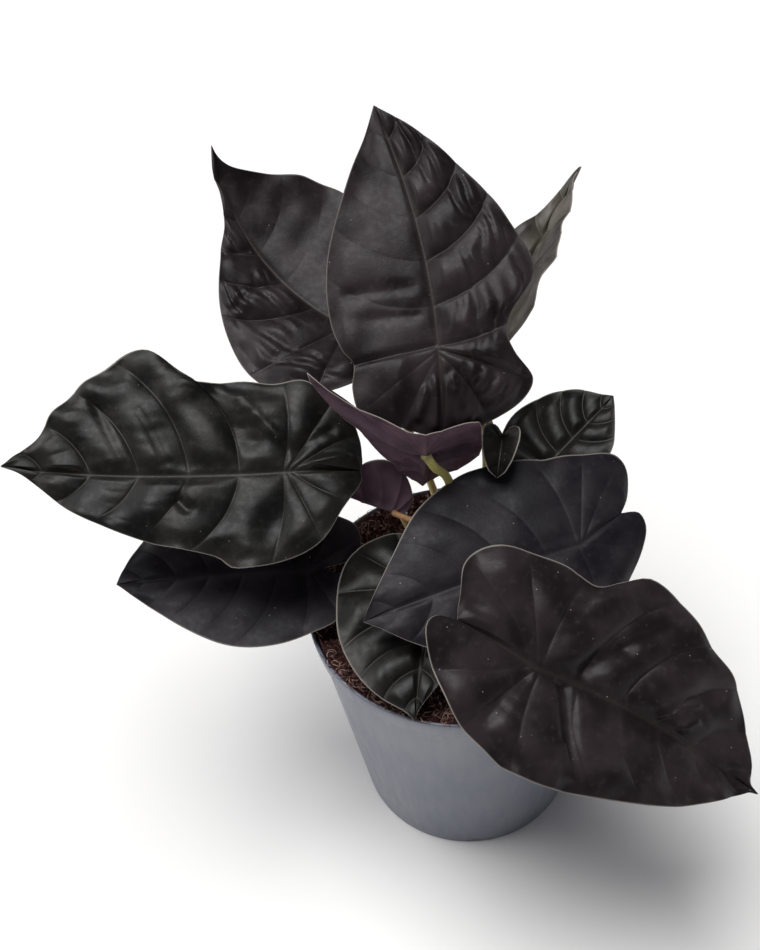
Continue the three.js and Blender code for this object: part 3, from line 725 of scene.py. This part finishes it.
def through_points(points, steps):
    """A smooth route through points, each stretch paced by the root of its length."""
    points = [np.array(p, dtype=float) for p in points]
    points = [2 * points[0] - points[1], *points, 2 * points[-1] - points[-2]]
    route = []
    for where in np.linspace(0, len(points) - 3, steps):
        i = min(int(where), len(points) - 4)
        part = where - i
        a, b, c, d = points[i:i + 4]
        before, here, after = (math.sqrt(np.linalg.norm(q - p)) for p, q in ((a, b), (b, c), (c, d)))
        leaving = ((b - a) / before - (c - a) / (before + here) + (c - b) / here) * here
        coming = ((c - b) / here - (d - b) / (here + after) + (d - c) / after) * here
        route.append(b + leaving * part + (-3 * b + 3 * c - 2 * leaving - coming) * part ** 2
                     + (2 * b - 2 * c + leaving + coming) * part ** 3)
    return np.array(route)


# Living skin over watery flesh: it lets a little light in, has a soft sheen, and is drawn with lines about
# 0.4 mm wide and 4 mm long. Its points tell how far round and how far up the stalk they are, from 0 to 1,
# and each stalk has its own tone between green and tan.
smooth_range = {"interpolation_type": "SMOOTHSTEP"}
stalk_skin, tree, shader = start_material("leaf_stalk_skin")
tone = add_node(tree, "Attribute", {"attribute_name": "tone"}).outputs["Fac"]
height = add_node(tree, "Attribute", {"attribute_name": "height"}).outputs["Fac"]
around = add_node(tree, "Attribute", {"attribute_name": "around"}).outputs["Fac"]
lines_at = add_node(tree, "CombineXYZ", None, {0: around, 1: height}).outputs[0]
stretched = add_node(tree, "Mapping", None, {
    "Vector": lines_at, "Scale": (LINES_HALF_ROUND, LINES_FULL_LENGTH, 1)}).outputs[0]
lines = add_node(tree, "TexNoise", None, {"Vector": stretched, "Scale": 1, "Detail": 4, "Distortion": 0.4})
body = add_node(tree, "Mix", color_mix, {0: tone, 6: linear(STALK_GREEN), 7: linear(STALK_TAN)})
blush = add_node(tree, "MapRange", smooth_range, {
    "Value": height, "From Min": 0.88, "From Max": 1.0, "To Min": 0.0, "To Max": 0.5})
mottle = add_node(tree, "MapRange", None, {
    "Value": lines.outputs["Fac"], "From Min": 0.5, "From Max": 0.75, "To Min": 0, "To Max": 0.55})
shaded = add_node(tree, "Math", {"operation": "MAXIMUM"}, {0: blush.outputs[0], 1: mottle.outputs[0]})
flesh = add_node(tree, "Mix", color_mix, {
    0: shaded.outputs[0], 6: body.outputs[2], 7: linear(STALK_PURPLE)})
tree.links.new(flesh.outputs[2], shader.inputs["Base Color"])
ribs = add_node(tree, "Bump", None, {"Height": lines.outputs["Fac"], "Strength": 0.4, "Distance": 0.3 * MM})
tree.links.new(ribs.outputs[0], shader.inputs["Normal"])
shader.inputs["Roughness"].default_value = 0.42
shader.inputs["Subsurface Weight"].default_value = 0.15
shader.inputs["Subsurface Radius"].default_value = (0.6 * MM, 0.4 * MM, 0.15 * MM)
shader.inputs["Subsurface Scale"].default_value = 1.0

for number, (name, leaf) in enumerate(LEAVES.items()):
    azimuth, elevation = (math.radians(value) for value in leaf["leave"])
    outward = np.array([math.cos(elevation) * math.cos(azimuth), math.cos(elevation) * math.sin(azimuth),
                        math.sin(elevation)])
    (joint,), (normal,) = place_on_leaf(leaf, np.zeros(1), np.zeros(1), 0)
    lean = math.radians(leaf["lean"])
    forward = np.subtract(leaf["tip"], joint)
    forward = unit(forward - normal * (forward @ normal))
    arrival = normal * math.cos(lean) + forward * math.sin(lean)
    end = joint - normal * (1 + 2 * STALK_GAP + leaf["stalk_radius"] * abs(math.sin(lean)))
    touch = joint - normal * TOUCH_DEPTH
    # the stalk comes in along its lean, and its last bit turns straight into the underside of the blade
    approach = [leaf["lead"], touch] if "lead" in leaf else [end - arrival * STALK_LEAD, end]
    route = through_points([
        STEM_CENTRE + outward * (STEM_RADIUS - 1),
        STEM_CENTRE + outward * (STEM_RADIUS + STALK_LEAD),
        leaf["via"],
        *approach], STALK_STEPS)
    if "lead" not in leaf:
        route = np.vstack([route, [end + (touch - end) * part for part in (0.5, 1)]])
    along = np.linspace(0, 1, len(route))
    # thickest where it sheathes the stem, and a little wider just under the blade
    radii = leaf["stalk_radius"] * (0.86 + 0.75 * np.exp(-along / 0.09) + 0.2 * np.exp((along - 1) / 0.03))
    points, faces = tube(route, radii, STALK_SIDES)
    stalk = make_piece("leaf_stalk_" + name, points, faces, stalk_skin, {
        "tone": np.full(len(points), STALK_TONES.get(name, USUAL_TONE + 0.07 * number)),
        "height": np.repeat(along, STALK_SIDES),
        "around": np.tile(np.abs(np.linspace(-1, 1, STALK_SIDES, endpoint=False)), len(route))})
    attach(stalk, "root")
    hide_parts("stalk_" + name)

# Leaf blades
# Thick, stiff, nearly black blades with a waxed leather look: impressed midrib and side veins, panels that
# swell between them, a thin light line along the margin that is a painted highlight where the edge catches
# the light, and a dull purple underside on which the veins stand out.
BLADE_THICKNESS = 0.55
RIM_THICKNESS = 0.32
GRID_MM = 1.05
VEIN_ANGLES = (36, 60)
LOBE_VEIN_STARTS = [1.5, 0, -1.5]
LOBE_VEIN_ANGLES = [86, 118, 148]
VEIN_HALF_WIDTH = 0.55
VEIN_DEPTH = 0.4
VEIN_RIDGE = 0.45
MIDRIB_HALF_WIDTH = 1.15
MIDRIB_DEPTH = 0.6
MIDRIB_RIDGE = 1.1
SWELL_SHARE = 0.13
SWELL_WIDTH_LIMIT = 18
RUNG_SPACING = 6.2
RUNG_DEPTH = 0.9
# The colour painted along each blade's margin as a highlight where the edge catches the light, and how much
# of it the margin takes.
PAINTED_RIM_HIGHLIGHT = "#9c958d"
RIM_HIGHLIGHT_MIX = 0.85
LEAF_DUST_COLOR = "#a9a39a"
CLOUD_MM = 16
MOTTLE_MM = 2.5
PORE_MM = 0.45
NET_MM = 2.6
LEAF_SPECK_SPACING_MM = 6
LEAF_COLORS = {
    "brown": ("#1c1719", "#322a2d", "#463e3a"),
    "dark": ("#0e0e0d", "#211f1b", "#3c382f"),
    "olive": ("#2c2824", "#565047", "#756f62"),
    "blue": ("#171419", "#292529", "#3a3539"),
}
UNDER_COLORS = ("#3a2c34", "#624b57", "#716260")


def make_leaf_material(kind, roughness, gloss, dust):
    """The waxed upper face and the duller underside of a blade, told apart by the facts its mesh holds."""
    material, tree, shader = start_material(f"waxy_{kind}_leaf")
    dark, light, vein_color = LEAF_COLORS[kind]
    under_dark, under_light, under_vein = UNDER_COLORS
    under, vein, rim_highlight = (add_node(tree, "Attribute", {"attribute_name": fact}).outputs["Fac"]
                        for fact in ("under", "vein", "rim_highlight"))
    spot = add_node(tree, "TexCoord").outputs["Object"]
    cloud, mottle, pores = (
        add_node(tree, "TexNoise", None, {
            "Vector": spot, "Scale": 1 / (size * MM), "Detail": detail}).outputs["Fac"]
        for size, detail in ((CLOUD_MM, 2), (MOTTLE_MM, 5), (PORE_MM, 2)))
    net = add_node(tree, "TexVoronoi", {"feature": "DISTANCE_TO_EDGE"}, {
        "Vector": spot, "Scale": 1 / (NET_MM * MM)}).outputs["Distance"]
    specks = add_node(tree, "TexVoronoi", None, {
        "Vector": spot, "Scale": 1 / (LEAF_SPECK_SPACING_MM * MM)}).outputs["Distance"]
    lighter = add_node(tree, "MapRange", smooth_range, {
        "Value": cloud, "From Min": 0.35, "From Max": 0.68})
    under_lighter = add_node(tree, "MapRange", smooth_range, {
        "Value": cloud, "From Min": 0.3, "From Max": 0.7})
    mottled = add_node(tree, "MapRange", smooth_range, {
        "Value": mottle, "From Min": 0.55, "From Max": 0.8, "To Max": 0.35})
    veined = add_node(tree, "Math", {"operation": "MULTIPLY"}, {0: vein, 1: 0.4})
    dusty = add_node(tree, "MapRange", smooth_range, {
        "Value": specks, "From Min": 0.02, "From Max": 0.05, "To Min": dust, "To Max": 0})
    upper = linear(dark)
    layers = ((lighter, light), (mottled, vein_color), (veined, vein_color), (dusty, LEAF_DUST_COLOR))
    for share, color in layers:
        upper = add_node(tree, "Mix", color_mix, {
            0: share.outputs[0], 6: upper, 7: linear(color)}).outputs[2]
    below = linear(under_dark)
    for share, color in ((under_lighter, under_light), (veined, under_vein)):
        below = add_node(tree, "Mix", color_mix, {
            0: share.outputs[0], 6: below, 7: linear(color)}).outputs[2]
    face = add_node(tree, "Mix", color_mix, {0: under, 6: upper, 7: below}).outputs[2]
    # a painted highlight along the margin of both faces, where the edge would catch the light
    rim_highlit = add_node(tree, "Mix", color_mix, {0: rim_highlight, 6: face, 7: linear(PAINTED_RIM_HIGHLIGHT)}).outputs[2]
    tree.links.new(rim_highlit, shader.inputs["Base Color"])
    wax = add_node(tree, "MapRange", smooth_range, {
        "Value": mottle, "From Min": 0.3, "From Max": 0.7,
        "To Min": roughness - 0.05, "To Max": roughness + 0.08}).outputs[0]
    dull = add_node(tree, "Math", {"operation": "MULTIPLY_ADD"}, {0: under, 1: 0.14, 2: wax}).outputs[0]
    tree.links.new(dull, shader.inputs["Roughness"])
    net_height = add_node(tree, "MapRange", smooth_range, {"Value": net, "From Max": 0.16}).outputs[0]
    fine = add_node(tree, "Math", {"operation": "MULTIPLY_ADD"}, {0: pores, 1: 0.5, 2: net_height}).outputs[0]
    bump = add_node(tree, "Bump", None, {"Height": fine, "Strength": 0.2, "Distance": 0.05 * MM})
    tree.links.new(bump.outputs[0], shader.inputs["Normal"])
    shader.inputs["IOR"].default_value = 1.45
    shader.inputs["Specular IOR Level"].default_value = gloss
    return material


# A leaf's wax gives a broad satin sheen. The small net of veinlets is drawn as coarse as it needs to show.
leaf_materials = {
    "brown": make_leaf_material("brown", roughness=0.36, gloss=0.18, dust=0.6),
    "dark": make_leaf_material("dark", roughness=0.38, gloss=0.25, dust=0.3),
    "olive": make_leaf_material("olive", roughness=0.4, gloss=0.34, dust=0.3),
    "blue": make_leaf_material("blue", roughness=0.44, gloss=0.2, dust=0.7),
}


def flat_margin(leaf, half, samples=600):
    """The margin of a half as a fine flat curve from the tip to the notch."""
    points = [(leaf_length(leaf), 0), *(leaf["left"], leaf["right"])[half], (-leaf["sinus"], 0)]
    points = np.array(points, dtype=float)
    points = np.vstack([points[0], points, points[-1]])
    where = np.linspace(0, len(points) - 3, samples)
    i = np.minimum(where.astype(int), len(points) - 4)
    part = (where - i)[:, None]
    a, b, c, d = (points[i + k] for k in range(4))
    curve = 0.5 * (2 * b + (c - a) * part + (2 * a - 5 * b + 4 * c - d) * part ** 2
                   + (3 * b - a - 3 * c + d) * part ** 3)
    curve[:, 1] = np.maximum(curve[:, 1], 0)
    curve[-1, 1] = 0
    run = np.concatenate([[0], np.cumsum(np.linalg.norm(np.diff(curve, axis=0), axis=1))])
    return curve, run


def vein_starts(leaf):
    """Where the side veins leave the midrib, from the tip back, and each one's angle from the midrib. The
    last three fan out from the stalk's joint into the back lobe."""
    length = leaf_length(leaf)
    starts = [length * (1 - (k + 0.85) / (leaf["veins"] + 0.8)) for k in range(leaf["veins"])]
    angles = list(np.linspace(*VEIN_ANGLES, leaf["veins"]))
    return starts + LOBE_VEIN_STARTS, angles + LOBE_VEIN_ANGLES


def leaf_grid(leaf, half, steps, rows):
    """Flat points of a half in columns along the side veins, each from the midrib to the margin; the part of
    that way that each row stands for; and each column's panel and how far across the panel it lies."""
    curve, run = flat_margin(leaf, half)
    starts, angles = vein_starts(leaf)
    ends = [0.0]
    for start, angle in zip(starts, angles):
        seen = np.degrees(np.arctan2(curve[:, 1], curve[:, 0] - start))
        ends.append(max(ends[-1] + 4, float(run[np.argmax(seen >= angle)])))
    ends.append(run[-1])
    bends = [0, *np.linspace(0.1, 0.12, leaf["veins"]), 0.06, 0.0, -0.04, 0]
    spine = [leaf_length(leaf), *starts, -leaf["sinus"]]
    out = np.linspace(0, 1, rows + 1)
    out = out - 0.35 * (np.sin(2 * math.pi * out) / (2 * math.pi))
    lines, panels, across = [], [], []
    last_panel = len(spine) - 2
    for panel in range(last_panel + 1):
        shares = np.linspace(0, 1, steps + 1)[:None if panel == last_panel else -1]
        for share in shares - 0.55 * np.sin(2 * math.pi * shares) / (2 * math.pi):
            root = np.array([spine[panel] + (spine[panel + 1] - spine[panel]) * share, 0])
            reach = ends[panel] + (ends[panel + 1] - ends[panel]) * share
            edge = np.array([np.interp(reach, run, curve[:, 0]), np.interp(reach, run, curve[:, 1])])
            chord = edge - root
            bend = bends[panel] + (bends[panel + 1] - bends[panel]) * share
            bow = bend * 4 * out * (1 - out)
            lines.append(root + chord * out[:, None] + bow[:, None] * np.array([-chord[1], chord[0]]))
            panels.append(panel)
            across.append(share)
    return np.array(lines), out, np.array(panels), np.array(across)


def blade_heights(leaf, half, lines, out, panels, across, seed):
    """How far each grid point of a half stands off the plain sheet, how much the veins thicken the blade
    there, and how near it is to a vein, from 0 to 1."""
    dice = np.random.default_rng(seed)
    last = panels.max()
    strength = dice.uniform(0.65, 1.35, last + 1)[panels][:, None]
    drift = dice.uniform(0, 6, last + 1)[panels][:, None]
    side = 1 if half == 0 else -1
    flat = np.stack([lines[..., 0], side * lines[..., 1]], -1)
    from_midrib = np.abs(lines[..., 1])
    to_tip = leaf_length(leaf) - lines[..., 0]
    across = across[:, None]
    widths = np.zeros(lines.shape[:2])
    for panel in range(last + 1):
        inside = np.flatnonzero(panels == panel)
        next_vein = lines[min(inside[-1] + 1, len(lines) - 1)]
        widths[inside] = np.linalg.norm(next_vein - lines[inside[0]], axis=1)
    lengths = np.linalg.norm(lines[:, -1] - lines[:, 0], axis=1)[:, None]
    # panels swell between the veins, and creases cross the swellings like rungs
    dome = np.sin(math.pi * across) ** 0.8
    envelope = smooth_step(out, 0.0, 0.16) * (1 - 0.75 * smooth_step(out, 0.72, 1.0))
    swelling = SWELL_SHARE * np.minimum(widths, SWELL_WIDTH_LIMIT) * leaf["quilt"][half] * strength
    swelling = swelling * dome * envelope
    phase = math.pi * (out * lengths / RUNG_SPACING) + drift + 0.7 * ripple(flat, 16, seed + 1)
    creased = smooth_step(ripple(flat, 18, seed + 2), -0.8, 0.6) * smooth_step(widths, 2, 8)
    creased = creased * smooth_step(out, 0.12, 0.35) * (1 - smooth_step(out, 0.8, 1.0))
    rungs = (np.abs(np.sin(phase)) ** 0.7 - 0.7) * dome ** 0.7 * creased * leaf["rungs"][half] * RUNG_DEPTH
    # side veins and the midrib; the first and last column are no veins
    to_vein = np.minimum(across, 1 - across) * widths
    no_vein = (panels[:, None] == 0) & (across < 0.5) | (panels[:, None] == last) & (across > 0.5)
    to_vein = np.where(no_vein, np.inf, to_vein)
    near_vein = np.exp(-(to_vein / (VEIN_HALF_WIDTH * (1.3 - 0.6 * out))) ** 2) * (1 - 0.75 * out)
    near_vein = near_vein * smooth_step(lengths * out, 0, 2) * leaf["veined"][half]
    near_midrib = np.exp(-(from_midrib / MIDRIB_HALF_WIDTH) ** 2) * (0.35 + 0.65 * smooth_step(to_tip, 0, 25))
    near_midrib = near_midrib * smooth_step(lines[..., 0] + leaf["sinus"], 0, 8)
    near_midrib = near_midrib * (0.5 + 0.5 * max(leaf["veined"]))
    # the blade as a whole undulates, most of all at its margin
    waves = (ripple(flat, 36, seed + 3) + 0.4 * ripple(flat, 15, seed + 4)) * (0.25 + 0.75 * out)
    waves = leaf["waves"] * (waves + ripple(flat, 20, seed + 5) * out ** 4) * min(1, leaf_length(leaf) / 80)
    height = swelling + (rungs + waves) * smooth_step(from_midrib, 0, 5)
    height = height - VEIN_DEPTH * near_vein - MIDRIB_DEPTH * near_midrib
    for x0, y0, x1, y1, breadth, rise in leaf.get("creases", []):
        first, run = np.array([x0, y0]), np.array([x1 - x0, y1 - y0])
        part = np.clip(((flat - first) @ run) / (run @ run), 0, 1)
        gap = np.linalg.norm(flat - first - part[..., None] * run, axis=-1)
        height = height + rise * np.exp(-(gap / breadth) ** 2) * smooth_step(from_midrib, 0, 2)
    lift = leaf["tip_lift"] * np.clip((lines[..., 0] / leaf_length(leaf) - 0.85) / 0.15, 0, 1) ** 2
    ridge = VEIN_RIDGE * near_vein + MIDRIB_RIDGE * near_midrib
    return height + lift, ridge, np.maximum(near_vein, near_midrib)


def blade_mesh(halves, rim_highlight_mix):
    """Points, faces and facts of a closed blade, from each half's upper points, lower points and nearness
    to a vein. The halves share their first row, which is the midrib, and their first and last columns."""
    columns, rows = halves[0][2].shape
    points, facts, quads = [], {"under": [], "vein": [], "rim_highlight": []}, []
    index = np.zeros((2, 2, columns, rows), dtype=int)
    for face, half, column, row in np.ndindex(index.shape):
        if (row == 0 and half == 1) or (row > 0 and column in (0, columns - 1)):
            index[face, half, column, row] = index[face, 0, column, 0]
            continue
        place = halves[half][face][column, row]
        if row == 0:
            place = (halves[0][face][column, 0] + halves[1][face][column, 0]) / 2
        index[face, half, column, row] = len(points)
        points.append(place)
        facts["under"].append(face)
        facts["vein"].append(halves[half][2][column, row])
        # the margin row carries the painted edge highlight
        facts["rim_highlight"].append(rim_highlight_mix if row == rows - 1 else 0)
    for face, half, column, row in np.ndindex(2, 2, columns - 1, rows - 1):
        a, b = index[face, half, column, row:row + 2]
        d, c = index[face, half, column + 1, row:row + 2]
        quads.append((a, b, c, d) if face != half else (a, d, c, b))
    for half, column in np.ndindex(2, columns - 1):
        a, b = index[0, half, column:column + 2, -1]
        d, c = index[1, half, column:column + 2, -1]
        quads.append((a, b, c, d) if half == 0 else (a, d, c, b))
    merged = [tuple(dict.fromkeys(quad)) for quad in quads]
    return points, [corners for corners in merged if len(corners) > 2], facts


for number, (name, leaf) in enumerate(LEAVES.items()):
    panel_count = len(vein_starts(leaf)[0]) + 1
    margin_length = max(flat_margin(leaf, half)[1][-1] for half in (0, 1))
    widest = max(p[1] for p in leaf["left"] + leaf["right"])
    steps = max(6, round(margin_length / panel_count / GRID_MM))
    rows = max(10, round(widest / GRID_MM))
    halves = []
    for half in (0, 1):
        lines, out, panels, across = leaf_grid(leaf, half, steps, rows)
        height, ridge, vein = blade_heights(
            leaf, half, lines, out, panels, across, seed=100 * number + 10 * half)
        sheet, normal = place_on_leaf(leaf, lines[..., 0], np.abs(lines[..., 1]), half)
        top = sheet + height[..., None] * normal
        thickness = RIM_THICKNESS + (BLADE_THICKNESS - RIM_THICKNESS) * (1 - smooth_step(out, 0.93, 1.0))
        halves.append((top, top - (thickness + ridge)[..., None] * normal, vein))
    # the margin's painted edge highlight, at each leaf's own strength
    points, faces, facts = blade_mesh(halves, RIM_HIGHLIGHT_MIX * leaf.get("rim_highlight_level", 1))
    skin = leaf_materials[leaf.get("skin", leaf["kind"])]
    blade = make_piece("leaf_blade_" + name, points, faces, skin, facts)
    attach(blade, "root")
    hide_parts("blade_" + name)
